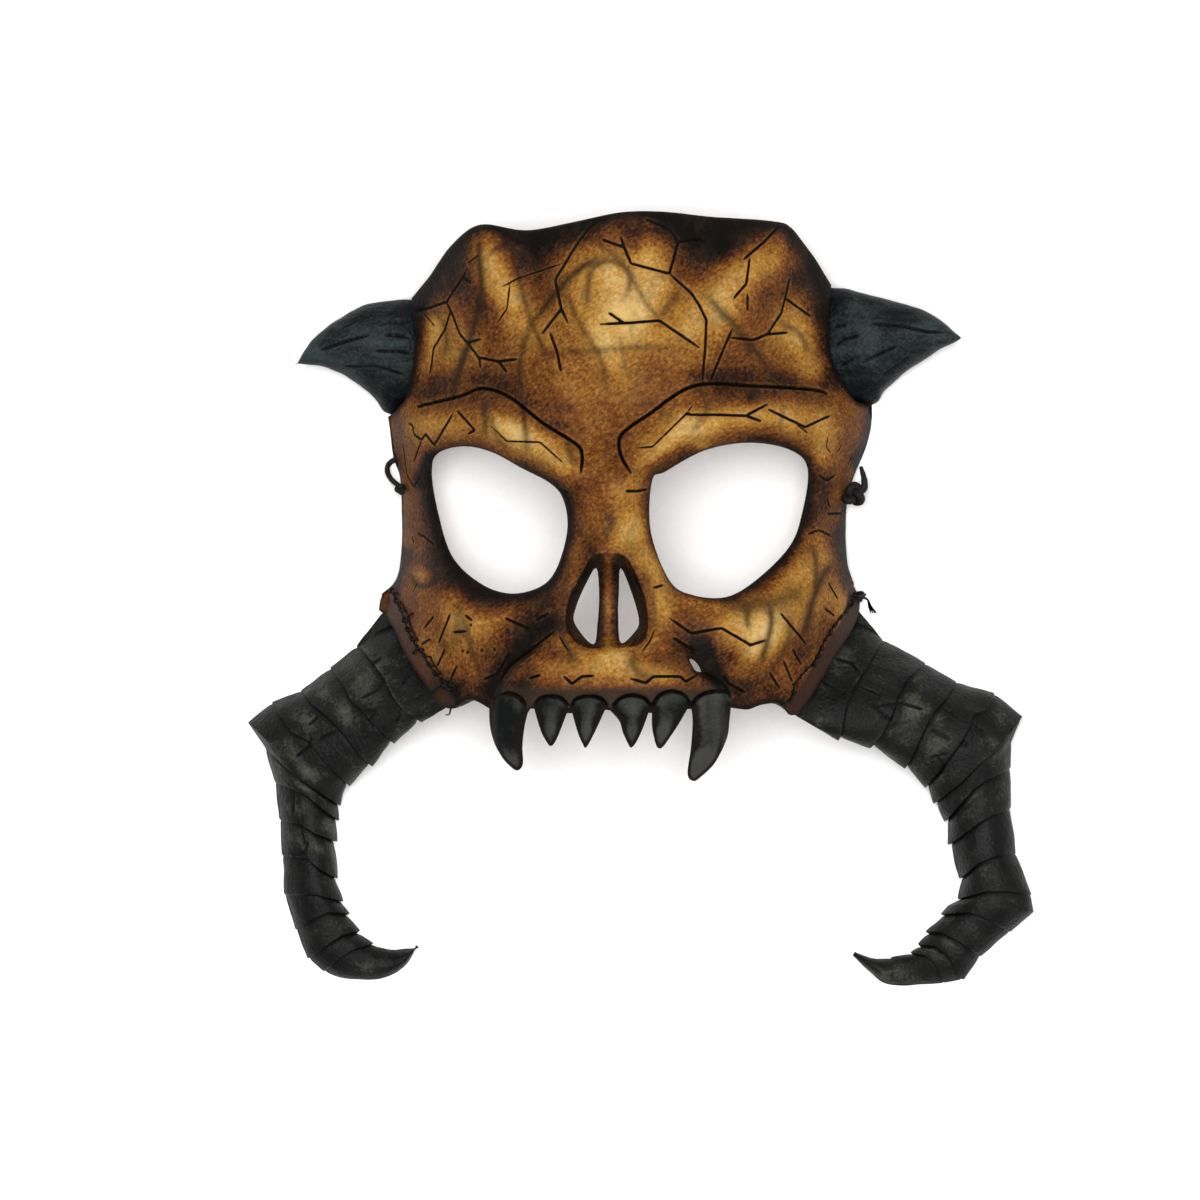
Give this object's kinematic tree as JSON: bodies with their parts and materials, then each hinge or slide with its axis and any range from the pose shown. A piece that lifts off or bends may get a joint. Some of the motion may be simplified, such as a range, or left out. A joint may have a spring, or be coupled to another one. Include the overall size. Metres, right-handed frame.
{
  "type": "moulded leather skull mask",
  "caption": "Moulded leather skull half mask with open eyes, pointed teeth, small horns and ridged tusks, tied with a head cord.",
  "frame": {"origin": "centre of the bounding box at table height, under the mask as it lies on its back", "axes": "+X towards the wearer's left tusk as seen on the right, +Y towards the crown, +Z out of the face, up from the table"},
  "size_m": [0.2278, 0.2236, 0.0606],
  "materials": {
    "tanned_leather": "satin, antiqued golden brown with dark tooled cracks",
    "black_leather": "satin, dyed black with grey high spots",
    "waxed_thread": "waxed black thread",
    "black_cord": "round braided black cord"
  },
  "bodies": {
    "root": {"face": "tanned_leather", "horn_left": "black_leather", "horn_right": "black_leather", "tusk_left": "black_leather", "tusk_right": "black_leather", "seam_thread_left": "waxed_thread", "seam_thread_right": "waxed_thread", "tie_knot_left": "black_cord", "tie_knot_right": "black_cord", "head_cord": "black_cord"}
  },
  "joints": []
}
